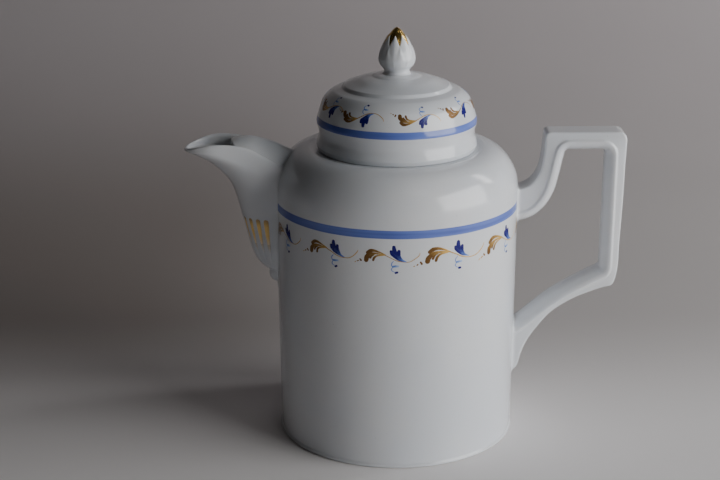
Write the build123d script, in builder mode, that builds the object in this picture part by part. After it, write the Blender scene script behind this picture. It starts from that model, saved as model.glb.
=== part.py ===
from build123d import *
import os
from math import cos, radians, sin

# White porcelain coffee pot with a beak spout, a squared handle and a cap lid.
# Millimetres, +Z up. The origin is the centre of the foot ring, on the surface the pot stands on.
# The spout points along -X and the handle along +X.

# ---- driving dimensions ----
wall = 3.4                    # thickness of the thrown body
foot_radius = 59.0            # widest point of the foot ring
foot_ring_inner = 51.0        # the foot ring's inner edge
foot_ring_slope = 1.6         # how far the ring's inner side leans
foot_recess = 2.6             # depth of the hollow under the base
floor_thickness = 4.0
foot_chamfer = 1.0            # bevel at the foot ring's outer edge
foot_groove_height = 2.2      # the shallow groove above the foot ring
inner_corner = 7.0            # rounding between the inside wall and the floor
body_low_radius = 58.4        # radius just above the foot
body_groove_radius = 58.3
body_middle_radius = 59.15    # the wall swells very slightly on its way up
body_middle_height = 60.0
body_radius = 59.6            # radius at the shoulder spring line
shoulder_spring = 126.5       # height where the shoulder starts to turn in
shoulder_lower_arc = 22.0     # the shoulder turns in on a large arc, then on a smaller one
shoulder_upper_arc = 13.7
shoulder_arc_join = 45.0      # degrees round the shoulder where the arcs meet
seat_height = 145.3           # flat ring that the lid stands on
seat_radius = 40.2
luting_gap = 0.05             # line of slip between the body and the pieces luted to it

collar_radius = 34.5          # outside of the upstanding neck inside the lid
collar_bore = 31.2
collar_top = 157.0
collar_bevel = 1.2            # bevels along the collar's top edge
neck_fillet = 3.0             # rounding where the collar meets the inside of the shoulder

strainer_hole_radius = 2.4
strainer_pitch = 8.0
strainer_columns = 2
strainer_rows = 4
strainer_centre = 110.0       # height of the middle of the strainer
strainer_from = 52.2          # the holes are cut outwards from here, through the wall
strainer_cut = 12.0

lid_clearance = 0.6           # between the collar and the inside of the lid
lid_rim_radius = 39.2
lid_rim_round = 2.4
lid_waist_radius = 38.0
lid_bulge_radius = 39.1
lid_bore_top = 158.6          # the straight bore ends here and the dome begins
lid_dome = 177.2              # underside of the dome on the axis
lid_top = 182.0               # flat that carries the finial
finial_foot_radius = 7.0
finial_top = 204.6
finial_tip_radius = 0.5       # the bud's blunt tip

handle_depth = 15.0           # across the handle, along Y
handle_top = 153.6
handle_reach = 112.7
handle_bar = 8.2              # height of the top bar
handle_grip = 9.4             # thickness of the upright grip
handle_edge = 2.2             # rounding along the bar's sides
handle_start = 57.0           # the arms are drawn from inside the body, then trimmed
grip_foot_reach = 110.6       # where the grip's straight outside edge ends
grip_foot_height = 87.0
near_corner = 3.6             # outside corner over the upper arm
far_corner = 4.5              # outside corner over the grip
opening_corner = 2.0          # inside corner of the bar and the grip
opening_arm_corner = 3.0      # inside corner of the bar and the upper arm

spout_reach = 102.7
spout_lip_height = 145.8      # height of the pouring tip
spout_half_width = 12.3
spout_wall = 2.8
bridge_front = -79.0          # where the open lip ends and the closed bridge starts
root_x = -44.0                # the spout's root is drawn from inside the body, then trimmed
side_view_reach = 30.0        # half the depth of the side-view cutters, past the spout's flanks

os.makedirs("parts", exist_ok=True)


# ---- the body's outline, shared by the body and by the envelope that trims what is luted to it ----
def shoulder_point(angle, inset=0.0):
    """A point on the shoulder, at an angle up from the horizontal, set in from the outside."""
    join = min(angle, shoulder_arc_join)
    turn = radians(join)
    radius = body_radius - shoulder_lower_arc * (1 - cos(turn))
    height = shoulder_spring + shoulder_lower_arc * sin(turn)
    rest = radians(max(angle, join))
    radius += shoulder_upper_arc * (cos(rest) - cos(turn))
    height += shoulder_upper_arc * (sin(rest) - sin(turn))
    return radius - inset * cos(radians(angle)), height - inset * sin(radians(angle))


def shoulder_arc(first, middle, last, inset=0.0):
    """One of the shoulder's arcs, between two angles."""
    ThreePointArc(shoulder_point(first, inset), shoulder_point(middle, inset), shoulder_point(last, inset))


def draw_body_outside(grow=0.0):
    """The outline of the body from the foot ring to the lid seat, in the XZ plane; returns its last point."""
    foot_corner = (foot_radius + grow, foot_chamfer)
    groove = (body_groove_radius + grow, foot_groove_height)
    seat_edge = (seat_radius, seat_height + grow)
    Polyline((foot_radius - foot_chamfer, 0), foot_corner, groove)
    ThreePointArc(groove, (body_middle_radius + grow, body_middle_height), shoulder_point(0, -grow))
    shoulder_arc(0, shoulder_arc_join / 2, shoulder_arc_join, -grow)
    shoulder_arc(shoulder_arc_join, (shoulder_arc_join + 90) / 2, 90, -grow)
    Line(shoulder_point(90, -grow), seat_edge)
    return seat_edge


with BuildPart() as body_envelope:
    with BuildSketch(Plane.XZ):
        with BuildLine():
            end = draw_body_outside(luting_gap)
            Polyline(end, (0, end[1]), (0, 0), (foot_radius - foot_chamfer, 0))
        make_face()
    revolve(axis=Axis.Z)

# ---- pot body: foot ring, cylinder, shoulder, lid seat and neck collar, with a pierced strainer ----
inner_floor = foot_recess + floor_thickness
inner_low_radius = body_low_radius - wall
neck_underside = shoulder_point(90, wall)[1]

with BuildPart() as pot_body:
    with BuildSketch(Plane.XZ):
        with BuildLine():
            end = draw_body_outside()
            Polyline(end, (collar_radius, seat_height), (collar_radius, collar_top - collar_bevel),
                     (collar_radius - collar_bevel, collar_top), (collar_bore + collar_bevel, collar_top),
                     (collar_bore, collar_top - collar_bevel), (collar_bore, neck_underside + neck_fillet))
            neck_fillet_end = (collar_bore + neck_fillet, neck_underside)
            TangentArc((collar_bore, neck_underside + neck_fillet), neck_fillet_end, tangent=(0, -1))
            Line(neck_fillet_end, shoulder_point(90, wall))
            shoulder_arc(90, (shoulder_arc_join + 90) / 2, shoulder_arc_join, wall)
            shoulder_arc(shoulder_arc_join, shoulder_arc_join / 2, 0, wall)
            inner_middle = (body_middle_radius - wall, body_middle_height)
            inner_wall_end = (inner_low_radius, inner_floor + inner_corner)
            inner_floor_edge = (inner_low_radius - inner_corner, inner_floor)
            ThreePointArc(shoulder_point(0, wall), inner_middle, inner_wall_end)
            TangentArc(inner_wall_end, inner_floor_edge, tangent=(0, -1))
            Polyline(inner_floor_edge, (0, inner_floor), (0, foot_recess),
                     (foot_ring_inner - foot_ring_slope, foot_recess), (foot_ring_inner, 0),
                     (foot_radius - foot_chamfer, 0))
        make_face()
    revolve(axis=Axis.Z)
    # strainer: a hexagonal patch of holes through the wall behind the spout
    with BuildSketch(Plane.YZ.offset(-strainer_from)):
        with Locations((0, strainer_centre)):
            with HexLocations(strainer_pitch / 2, strainer_columns, strainer_rows):
                Circle(strainer_hole_radius)
    extrude(amount=-strainer_cut, mode=Mode.SUBTRACT)
pot_body.part.label = "pot_body"
export_step(pot_body.part, "parts/pot_body.step")

# ---- spout: a beak, open along its lip and bridged back to the shoulder ----
# each row is height, reach along -X, start of the rounded nose, half width
spout_sections = (
    (76.4, 60.2, -56.0, 2.6),
    (80.5, 63.0, -57.0, 6.0),
    (85.0, 64.6, -57.0, 9.2),
    (91.0, 68.6, -57.0, 11.2),
    (101.0, 72.2, -57.0, 12.0),
    (114.0, 75.8, -57.0, 12.2),
    (126.0, 79.7, -58.5, spout_half_width),
    (134.0, 84.6, -63.0, spout_half_width),
    (140.0, 90.6, -71.0, spout_half_width),
    (144.0, 97.6, -80.0, spout_half_width),
    (147.0, spout_reach + 1.2, -87.0, spout_half_width),
    (154.0, spout_reach + 4.0, -88.0, spout_half_width),
)


def nose_slice(reach, start, half_width):
    """A level slice through the spout: straight sides from its root, closed by half an ellipse."""
    with BuildSketch() as level_slice:
        with BuildLine():
            EllipticalCenterArc((start, 0), reach + start, half_width, start_angle=90, arc_size=180)
            Polyline((start, -half_width), (root_x, -half_width), (root_x, half_width), (start, half_width))
        make_face()
    return level_slice.sketch


with BuildPart() as spout_side_view:
    with BuildSketch(Plane.XZ):
        with BuildLine():
            Spline((-spout_reach, spout_lip_height), (-99.0, 147.7), (-90.0, 149.4), (bridge_front, 150.2),
                   tangents=((1, 0.9), (1, 0)))
            Spline((bridge_front, 150.2), (-72.0, 151.6), (-62.0, 149.0), (-52.0, 144.6), (root_x, 143.0))
            Polyline((root_x, 143.0), (root_x, 70), (-spout_reach, 70), (-spout_reach, spout_lip_height))
        make_face()
    extrude(amount=side_view_reach, both=True)

with BuildPart() as spout_channel:
    for height, reach, start, half_width in spout_sections[3:]:
        with BuildSketch(Plane.XY.offset(height)):
            add(nose_slice(reach - spout_wall, start, half_width - spout_wall))
    loft()
    # the channel stays under the bridge, and is open to the sky in front of it
    with BuildSketch(Plane.XZ):
        with BuildLine():
            Spline((bridge_front, 147.4), (-72.0, 148.4), (-62.0, 145.6), (root_x, 138.0))
            Polyline((root_x, 138.0), (root_x, 160), (bridge_front, 160), (bridge_front, 147.4))
        make_face()
    extrude(amount=side_view_reach, both=True, mode=Mode.SUBTRACT)

with BuildPart() as spout:
    for height, reach, start, half_width in spout_sections:
        with BuildSketch(Plane.XY.offset(height)):
            add(nose_slice(reach, start, half_width))
    loft()
    add(spout_side_view.part, mode=Mode.INTERSECT)
    add(spout_channel.part, mode=Mode.SUBTRACT)
    add(body_envelope.part, mode=Mode.SUBTRACT)
spout.part.label = "spout"
export_step(spout.part, "parts/spout.step")

# ---- handle: a squared loop with a swept lower arm ----
grip_inside = handle_reach - handle_grip
bar_bottom = handle_top - handle_bar
upper_arm_outside = 72.1
upper_arm_inside = 81.5

with BuildSketch(Plane.XZ) as handle_outline:
    with BuildLine():
        # outside, from the upper root round to the lower root
        Spline((handle_start, 124.6), (61.4, 125.1), (66.8, 128.3), (70.4, 134.4), (71.9, 143.5),
               (upper_arm_outside, handle_top - near_corner), tangents=((1, 0), (0, 1)))
        TangentArc((upper_arm_outside, handle_top - near_corner),
                   (upper_arm_outside + near_corner, handle_top), tangent=(0, 1))
        Line((upper_arm_outside + near_corner, handle_top), (handle_reach - far_corner, handle_top))
        TangentArc((handle_reach - far_corner, handle_top), (handle_reach, handle_top - far_corner),
                   tangent=(1, 0))
        Line((handle_reach, handle_top - far_corner), (grip_foot_reach, grip_foot_height))
        Spline((grip_foot_reach, grip_foot_height), (109.5, 79.4), (106.4, 74.9), (98.5, 72.0), (86.0, 66.4),
               (75.0, 58.0), (67.6, 47.6), (62.8, 36.2), (60.6, 31.2), (handle_start, 30.0),
               tangents=((-0.03, -1), (-1, 0)))
        # inside, from the lower root back to the upper root
        Line((handle_start, 30.0), (handle_start, 51.6))
        Spline((handle_start, 51.6), (62.5, 54.9), (71.5, 61.8), (84.1, 70.8), (94.0, 77.2), (100.6, 80.9),
               (102.9, 84.6), tangents=((1, 0.5), (0.03, 1)))
        Line((102.9, 84.6), (grip_inside, bar_bottom - opening_corner))
        TangentArc((grip_inside, bar_bottom - opening_corner), (grip_inside - opening_corner, bar_bottom),
                   tangent=(0, 1))
        Line((grip_inside - opening_corner, bar_bottom), (upper_arm_inside + opening_arm_corner, bar_bottom))
        TangentArc((upper_arm_inside + opening_arm_corner, bar_bottom),
                   (upper_arm_inside, bar_bottom - opening_arm_corner), tangent=(-1, 0))
        Spline((upper_arm_inside, bar_bottom - opening_arm_corner), (80.5, 136.6), (78.3, 126.6),
               (73.6, 116.8), (66.6, 110.8), (handle_start, 107.6), tangents=((-0.1, -1), (-1, -0.15)))
        Line((handle_start, 107.6), (handle_start, 124.6))
    make_face()

with BuildPart() as handle:
    with BuildSketch(Plane.XZ.offset(-handle_depth / 2)):
        add(handle_outline.sketch)
    extrude(amount=handle_depth)
    sides = handle.faces().sort_by(Axis.Y)
    fillet(sides[0].edges() + sides[-1].edges(), handle_edge)
    add(body_envelope.part, mode=Mode.SUBTRACT)
handle.part.label = "handle"
export_step(handle.part, "parts/handle.step")

# ---- lid: a cap that stands on the seat and covers the collar ----
lid_bore = collar_radius + lid_clearance

with BuildPart() as lid:
    with BuildSketch(Plane.XZ):
        with BuildLine():
            Line((lid_bore, seat_height), (lid_rim_radius - lid_rim_round, seat_height))
            TangentArc((lid_rim_radius - lid_rim_round, seat_height),
                       (lid_rim_radius, seat_height + lid_rim_round), tangent=(1, 0))
            Spline((lid_rim_radius, seat_height + lid_rim_round), (lid_waist_radius, 152.5),
                   (lid_bulge_radius, 159.4), (37.9, 163.2), (35.8, 170.2), (31.0, 175.0), (26.6, 177.0),
                   tangents=((0, 1), (-1, 0.2)))
            Line((26.6, 177.0), (25.4, 177.9))
            Spline((25.4, 177.9), (18.0, 180.0), (11.0, 180.7), (finial_foot_radius, lid_top),
                   tangents=((-1, 0.3), (-0.6, 1)))
            Polyline((finial_foot_radius, lid_top), (0, lid_top), (0, lid_dome))
            Spline((0, lid_dome), (20.0, 176.0), (31.6, 169.4), (lid_bore, lid_bore_top),
                   tangents=((1, 0), (0, -1)))
            Line((lid_bore, lid_bore_top), (lid_bore, seat_height))
        make_face()
    revolve(axis=Axis.Z)
lid.part.label = "lid"
export_step(lid.part, "parts/lid.step")

# ---- finial: a closed bud on a short neck, luted to the lid ----
with BuildPart() as lid_finial:
    with BuildSketch(Plane.XZ):
        with BuildLine():
            tip = (finial_tip_radius, finial_top)
            Spline((finial_foot_radius, lid_top), (6.0, 183.6), (7.8, 186.0), (8.9, 189.0), (8.3, 192.6),
                   (6.4, 197.0), (3.9, 201.2), tip, tangents=((-0.6, 1), (-1, 0.9)))
            Polyline(tip, (0, finial_top), (0, lid_top), (finial_foot_radius, lid_top))
        make_face()
    revolve(axis=Axis.Z)
lid_finial.part.label = "lid_finial"
export_step(lid_finial.part, "parts/lid_finial.step")
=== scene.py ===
import math
import bpy
import numpy as np
from mathutils import Matrix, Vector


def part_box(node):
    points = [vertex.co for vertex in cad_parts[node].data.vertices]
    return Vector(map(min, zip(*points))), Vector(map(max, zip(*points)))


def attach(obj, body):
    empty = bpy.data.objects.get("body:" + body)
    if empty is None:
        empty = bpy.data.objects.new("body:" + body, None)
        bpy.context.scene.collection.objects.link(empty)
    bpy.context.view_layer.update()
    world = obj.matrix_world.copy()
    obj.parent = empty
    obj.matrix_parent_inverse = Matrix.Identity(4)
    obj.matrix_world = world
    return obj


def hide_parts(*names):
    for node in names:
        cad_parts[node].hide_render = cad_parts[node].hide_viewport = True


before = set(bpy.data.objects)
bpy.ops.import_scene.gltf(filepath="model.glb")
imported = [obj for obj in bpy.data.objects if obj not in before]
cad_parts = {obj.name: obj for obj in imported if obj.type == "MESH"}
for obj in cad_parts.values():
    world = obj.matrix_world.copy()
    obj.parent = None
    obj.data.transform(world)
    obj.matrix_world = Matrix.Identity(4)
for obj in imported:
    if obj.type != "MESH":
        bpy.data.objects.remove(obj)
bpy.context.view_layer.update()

# A white porcelain coffee pot with painted leaf borders, on a pale floor.
# Shapes are worked out in millimetres and turned into metres when their mesh is made.
MM = 0.001


def node_box(node):
    """A CAD node's lowest and highest corners, in millimetres."""
    low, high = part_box(node)
    return np.array(low) / MM, np.array(high) / MM


lid_low, lid_high = node_box("lid")
bud_low, bud_high = node_box("lid_finial")

# ---- driving dimensions; the main ones are read from the frame ----
# widest radius of the body, and the top of its collar
BODY_R, _, COLLAR_TOP = node_box("pot_body")[1]
SEAT_Z = lid_low[2]       # the flat the lid stands on
SPRING_Z = SEAT_Z - 18.8  # where the shoulder starts to turn in
LOWER_ARC = 22.0          # the shoulder's two arcs
UPPER_ARC = 13.7
ARC_JOIN = 45.0
FOOT_TAPER = 1.25         # the wall is this much narrower at the foot
TAPER_POWER = 1.6
FOOT_INSET = 0.55         # from the body's widest radius to the foot ring's
FOOT_RING_INNER = 51.0
FOOT_RECESS = 2.6         # depth of the hollow under the base
WALL = 3.4
SEAT_R = 40.2
COLLAR_R = 34.5
COLLAR_BORE = 31.2
COLLAR_EDGE = 1.5         # rounding of the collar's top edges
NECK_ROUND = 3.0          # rounding under the collar's bore
NECK_DROP = 2.7           # from the seat down to the inside of the shoulder
FLOOR_Z = 6.6             # inside floor of the pot
FLOOR_ROUND = 6.5
STRAINER_Z = 110.0        # middle of the strainer, pierced behind the spout
STRAINER_PITCH = 8.0
STRAINER_ROWS = 4
STRAINER_HOLE = 2.4
STRAINER_ASIDE = 0.433    # half of sin 60, for staggered columns
BAND_LOW = 116.8          # blue band round the body
BAND_HIGH = 120.8
LID_BAND_LOW = SEAT_Z + 13.3
LID_BAND_HIGH = SEAT_Z + 16.7
LID_R = lid_high[0]
LID_TOP = lid_high[2]
LID_CLEARANCE = 0.6       # between the collar and the inside of the lid
LID_LIP = 2.6             # width of the lid's flat rim inside its rounded edge
TIP_X = -node_box("spout")[0][0]  # how far the spout reaches along -X
HANDLE_X, handle_side, HANDLE_TOP = node_box("handle")[1]
BEAD_RISE = 0.7           # how far the handle's raised bead stands out
HALF_DEPTH = handle_side + BEAD_RISE
SKIN = 0.35               # luted pieces run this far into the body's wall
FINE_STEP = 0.36          # cell size of the spout's and handle's meshes


# ---- general tools ----
def curve_through(points, steps=12):
    """A smooth curve through points, with even steps between each pair."""
    p = np.array(points, float)
    p = np.vstack([2 * p[0] - p[1], p, 2 * p[-1] - p[-2]])
    t = np.linspace(0, 1, steps, endpoint=False)[:, None]
    spans = []
    for a, b, c, d in zip(p[:-3], p[1:-2], p[2:-1], p[3:]):
        bend = (2 * a - 5 * b + 4 * c - d) * t ** 2 + (3 * b - a - 3 * c + d) * t ** 3
        spans.append(0.5 * (2 * b + (c - a) * t + bend))
    return np.vstack(spans + [p[-2:-1]])


def rounded_path(corners, steps=6):
    """A path of straight runs whose corners are (x, y, radius) arcs."""
    path = []
    for i, (x, y, radius) in enumerate(corners):
        here = np.array([x, y], float)
        if radius == 0 or i in (0, len(corners) - 1):
            path.append(here)
            continue
        back = np.array(corners[i - 1][:2], float) - here
        ahead = np.array(corners[i + 1][:2], float) - here
        back /= np.linalg.norm(back)
        ahead /= np.linalg.norm(ahead)
        half_turn = math.acos(np.clip(np.dot(back, ahead), -1, 1)) / 2
        cut = radius / math.tan(half_turn)
        start, end = here + back * cut, here + ahead * cut
        for t in np.linspace(0, 1, steps):
            path.append((1 - t) ** 2 * start + 2 * t * (1 - t) * here + t ** 2 * end)
    return np.array(path)


def blend_min(a, b, soft):
    """The smaller of two fields, with the crease between them rounded."""
    h = np.clip(0.5 + 0.5 * (b - a) / soft, 0, 1)
    return b * (1 - h) + a * h - soft * h * (1 - h)


def blend_max(a, b, soft):
    return -blend_min(-a, -b, soft)


def ease(low, high, value):
    """0 below low, 1 above high, and a smooth step between."""
    t = np.clip((value - low) / (high - low), 0, 1)
    return t * t * (3 - 2 * t)


def table(rows, column, at):
    """A column of a table read smoothly at some heights, by the table's first column."""
    dense = curve_through([(row[0], row[column]) for row in rows])
    order = np.argsort(dense[:, 0], kind="stable")
    return np.interp(at, dense[order, 0], dense[order, 1])


def add_mesh(name, points, faces, materials):
    """A smooth-shaded mesh object from points in millimetres."""
    mesh = bpy.data.meshes.new(name)
    mesh.from_pydata((np.asarray(points) * MM).tolist(), [], [list(map(int, f)) for f in faces])
    mesh.polygons.foreach_set("use_smooth", [True] * len(mesh.polygons))
    for material in materials:
        mesh.materials.append(material)
    mesh.validate()
    mesh.update()
    piece = bpy.data.objects.new(name, mesh)
    bpy.context.scene.collection.objects.link(piece)
    return piece


def paint_values(piece, **layers):
    """Stores numbers for each vertex, for the piece's material to read."""
    for name, values in layers.items():
        layer = piece.data.attributes.new(name, "FLOAT", "POINT")
        layer.data.foreach_set("value", np.full(len(piece.data.vertices), values, float))


def grid_faces(rows, columns, first=0, closed=False):
    """Quads between rows of points; closed joins the last column to the first."""
    quads = []
    for row in range(rows - 1):
        a, b = first + row * columns, first + (row + 1) * columns
        for i in range(columns if closed else columns - 1):
            j = (i + 1) % columns
            quads.append((a + i, a + j, b + j, b + i))
    return quads


def lathe(name, profile, materials, around=288):
    """A surface of revolution of a profile of (radius, height) points."""
    profile = np.asarray(profile, float)
    angles = np.linspace(0, 2 * math.pi, around, endpoint=False)
    points, rings = [], []
    for radius, height in profile:
        if radius < 1e-6:
            rings.append([len(points)])
            points.append((0, 0, height))
            continue
        rings.append(list(range(len(points), len(points) + around)))
        points.extend((radius * math.cos(a), radius * math.sin(a), height) for a in angles)
    faces = []
    for lower, upper in zip(rings[:-1], rings[1:]):
        for i in range(around):
            j = (i + 1) % around
            if len(lower) == 1:
                faces.append((lower[0], upper[j], upper[i]))
            elif len(upper) == 1:
                faces.append((lower[i], lower[j], upper[0]))
            else:
                faces.append((lower[i], lower[j], upper[j], upper[i]))
    return add_mesh(name, points, faces, materials)


def surface_net(field, low, high, step):
    """The surface where a field is zero, as quads, with one vertex in each cell it passes through."""
    axes = [np.arange(a, b + step, step) for a, b in zip(low, high)]
    value = field(*np.meshgrid(*axes, indexing="ij"))
    inside = value < 0
    corners = [np.array([c >> 2 & 1, c >> 1 & 1, c & 1]) for c in range(8)]
    cells = np.array(value.shape) - 1
    count = np.zeros(cells, int)
    for c in corners:
        count += inside[c[0]:c[0] + cells[0], c[1]:c[1] + cells[1], c[2]:c[2] + cells[2]]
    active = np.argwhere((count > 0) & (count < 8))
    number = np.full(cells, -1)
    number[tuple(active.T)] = np.arange(len(active))
    at = [value[tuple((active + c).T)] for c in corners]
    total = np.zeros((len(active), 3))
    hits = np.zeros(len(active))
    for c in range(8):
        for bit in (1, 2, 4):
            d = c | bit
            if d == c:
                continue
            cross = (at[c] < 0) != (at[d] < 0)
            t = at[c][cross] / (at[c][cross] - at[d][cross])
            total[cross] += corners[c] + t[:, None] * (corners[d] - corners[c])
            hits[cross] += 1
    points = np.array(low) + step * (active + total / hits[:, None])
    faces = []
    for axis in range(3):
        u = np.eye(3, dtype=int)[(axis + 1) % 3]
        v = np.eye(3, dtype=int)[(axis + 2) % 3]
        first = np.moveaxis(inside, axis, 0)[:-1]
        second = np.moveaxis(inside, axis, 0)[1:]
        edges = np.argwhere(np.moveaxis(first != second, 0, axis))
        edges = edges[np.all((edges >= u + v) & (edges < cells), axis=1)]
        quad = [number[tuple((edges - s).T)] for s in (0 * u, u, u + v, v)]
        quad = np.stack(quad, axis=1)
        outward = inside[tuple(edges.T)]
        quad[~outward] = quad[~outward][:, ::-1]
        faces.append(quad[np.all(quad >= 0, axis=1)])
    points = settle(points, field, step)
    return points, np.vstack(faces)


def settle(points, field, step):
    """Moves points onto the surface where the field is zero."""
    gap = step * 0.2
    for _ in range(3):
        value = field(*points.T)
        slope = np.stack([
            (field(*(points + gap * axis).T) - field(*(points - gap * axis).T)) / (2 * gap)
            for axis in np.eye(3)
        ], axis=1)
        move = slope * (value / np.maximum((slope ** 2).sum(1), 0.05))[:, None]
        length = np.linalg.norm(move, axis=1, keepdims=True)
        points = points - move * np.minimum(1, 0.5 * step / np.maximum(length, 1e-9))
    return points


# ---- materials ----
class Nodes:
    """A short way to build one material's node tree."""

    def __init__(self, name):
        self.material = bpy.data.materials.new(name)
        self.material.use_nodes = True
        self.tree = self.material.node_tree
        self.shader = self.tree.nodes["Principled BSDF"]
        self.place = self.add("ShaderNodeTexCoord").outputs["Object"]

    def add(self, kind, **settings):
        node = self.tree.nodes.new(kind)
        for key, value in settings.items():
            setattr(node, key, value)
        return node

    def feed(self, source, socket):
        if hasattr(source, "links"):
            self.tree.links.new(source, socket)
        else:
            socket.default_value = source

    def math(self, operation, a, b=0.0, c=0.0):
        node = self.add("ShaderNodeMath", operation=operation)
        for source, socket in zip((a, b, c), node.inputs):
            self.feed(source, socket)
        return node.outputs[0]

    def noise(self, scale, detail=3.0, stretch=(1, 1, 1)):
        mapping = self.add("ShaderNodeMapping")
        mapping.inputs["Scale"].default_value = stretch
        self.feed(self.place, mapping.inputs["Vector"])
        node = self.add("ShaderNodeTexNoise")
        node.inputs["Scale"].default_value = scale
        node.inputs["Detail"].default_value = detail
        self.feed(mapping.outputs[0], node.inputs["Vector"])
        return node.outputs["Fac"]

    def step(self, value, low, high):
        node = self.add("ShaderNodeMapRange", interpolation_type="SMOOTHSTEP")
        for source, name in ((value, "Value"), (low, "From Min"), (high, "From Max")):
            self.feed(source, node.inputs[name])
        return node.outputs["Result"]

    def mix(self, factor, a, b):
        node = self.add("ShaderNodeMix", data_type="RGBA")
        self.feed(factor, node.inputs[0])
        self.feed(a, node.inputs[6])
        self.feed(b, node.inputs[7])
        return node.outputs[2]

    def place_parts(self):
        node = self.add("ShaderNodeSeparateXYZ")
        self.feed(self.place, node.inputs[0])
        return node.outputs

    def value(self, name):
        return self.add("ShaderNodeAttribute", attribute_name=name).outputs["Fac"]

    def set(self, **values):
        for name, value in values.items():
            self.feed(value, self.shader.inputs[name.replace("_", " ")])

    def bump(self, height, strength, distance):
        node = self.add("ShaderNodeBump")
        node.inputs["Strength"].default_value = strength
        node.inputs["Distance"].default_value = distance
        self.feed(height, node.inputs["Height"])
        self.feed(node.outputs[0], self.shader.inputs["Normal"])


def rgb(red, green, blue):
    """A colour given as 0-255 screen values, as the linear values that shaders use."""
    linear = []
    for channel in (red, green, blue):
        c = channel / 255
        linear.append(c / 12.92 if c <= 0.04045 else ((c + 0.055) / 1.055) ** 2.4)
    return (*linear, 1.0)


WHITE = rgb(228, 230, 233)
WHITE_COOL = rgb(221, 225, 231)
BAND_BLUE = rgb(70, 92, 180)
BAND_PALE = rgb(100, 124, 206)
GOLD = rgb(208, 166, 86)
GOLD_LIGHT = rgb(242, 206, 120)
GOLD_DARK = rgb(118, 84, 42)


def porcelain(name, band=None, gilt=False):
    """Clear-glazed white porcelain, with an optional painted band and gilding where 'gilt' is over 0; the
    gilding is painted darker, as painted shade, where a per-vertex shade value is over 0.
    """
    n = Nodes(name)
    cloud = n.noise(14.0, 4.0)
    colour = n.mix(n.step(cloud, 0.35, 0.65), WHITE, WHITE_COOL)
    speck = n.step(n.noise(900.0, 1.0), 0.775, 0.80)
    colour = n.mix(n.math("MULTIPLY", speck, 0.22), colour, rgb(150, 146, 138))
    roughness = n.math("MULTIPLY_ADD", cloud, 0.05, 0.12)
    metallic = 0.0
    if band:
        low, high, least_radius = band
        x, y, z = n.place_parts()
        radius = n.math("SQRT", n.math("ADD", n.math("MULTIPLY", x, x), n.math("MULTIPLY", y, y)))
        wander = n.math("MULTIPLY_ADD", n.noise(38.0, 1.0, (1, 1, 0)), 0.0004, -0.0002)
        height = n.math("ADD", z, wander)
        soft = 0.00012
        above = n.step(height, low * MM - soft, low * MM + soft)
        below = n.step(height, high * MM - soft, high * MM + soft)
        outside = n.math("GREATER_THAN", radius, least_radius * MM)
        mask = n.math("MULTIPLY", n.math("SUBTRACT", above, below), outside)
        strokes = n.noise(60.0, 3.0, (0.25, 0.25, 6.0))
        patch = n.noise(22.0, 2.0, (1, 1, 0.2))
        tone = n.step(n.math("ADD", strokes, patch), 0.75, 1.25)
        paint = n.mix(tone, BAND_BLUE, BAND_PALE)
        colour = n.mix(n.math("MULTIPLY", mask, 0.96), colour, paint)
    if gilt:
        worn = n.noise(420.0)
        edge = n.math("ADD", n.value("gilt"), n.math("MULTIPLY_ADD", worn, 0.30, -0.15))
        mask = n.math("MULTIPLY", n.step(edge, 0.42, 0.58), n.value("wear"))
        tone = n.step(n.noise(90.0, 2.0), 0.3, 0.7)
        # painted shade: the gold turns dark brown where the shade value is high, in the flutes' hollow heads
        leaf = n.mix(n.value("pooled"), n.mix(tone, GOLD, GOLD_LIGHT), GOLD_DARK)
        colour = n.mix(mask, colour, leaf)
        polish = n.value("polish")
        metallic = n.math("MULTIPLY", mask, n.math("MULTIPLY_ADD", polish, 0.55, 0.4))
        duller = n.math("MULTIPLY", mask, n.math("MULTIPLY_ADD", polish, -0.2, 0.24))
        roughness = n.math("ADD", roughness, duller)
    n.set(Base_Color=colour, Roughness=roughness, Metallic=metallic, IOR=1.5)
    n.set(Subsurface_Weight=0.12, Subsurface_Scale=0.0022, Coat_Weight=0.12, Coat_Roughness=0.06)
    n.set(Subsurface_Radius=(1.0, 0.85, 0.7))
    ripple = n.math("ADD", n.noise(46.0, 2.0), n.math("MULTIPLY", n.noise(210.0, 2.0), 0.12))
    n.bump(ripple, 0.16, 0.0006)
    return n.material


def unglazed(name):
    """The ground foot ring: bare, slightly grainy biscuit porcelain."""
    n = Nodes(name)
    grain = n.noise(1400.0)
    n.set(Base_Color=n.mix(grain, rgb(214, 208, 198), rgb(184, 177, 166)), Roughness=0.72)
    n.bump(grain, 0.3, 0.0001)
    return n.material


def enamel(name, dark, light, roughness, metallic):
    """Brushed-on colour, dark where the brush was loaded and lighter where it ran out."""
    n = Nodes(name)
    streak = n.noise(700.0)
    tone = n.step(n.math("ADD", n.value("tone"), n.math("MULTIPLY_ADD", streak, 0.5, -0.25)), 0.25, 1.05)
    n.set(Base_Color=n.mix(tone, dark, light), Roughness=roughness, Metallic=metallic)
    n.set(Specular_IOR_Level=0.3)
    n.bump(streak, 0.2, 0.00005)
    return n.material


# a band is given as its lowest and highest height, and the least radius it may show at
body_glaze = porcelain("glaze_body", band=(BAND_LOW, BAND_HIGH, BODY_R - 2.0))
lid_glaze = porcelain("glaze_lid", band=(LID_BAND_LOW, LID_BAND_HIGH, LID_R - 2.2))
plain_glaze = porcelain("glaze_plain")
gilded_glaze = porcelain("glaze_gilded", gilt=True)
biscuit = unglazed("biscuit_foot")
cobalt = enamel("enamel_cobalt", rgb(28, 22, 112), rgb(112, 146, 226), 0.22, 0.0)
pale_blue = enamel("enamel_pale_blue", rgb(96, 132, 208), rgb(170, 196, 236), 0.22, 0.0)
gold_paint = enamel("enamel_gold", GOLD_DARK, rgb(222, 180, 98), 0.34, 0.35)


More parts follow.
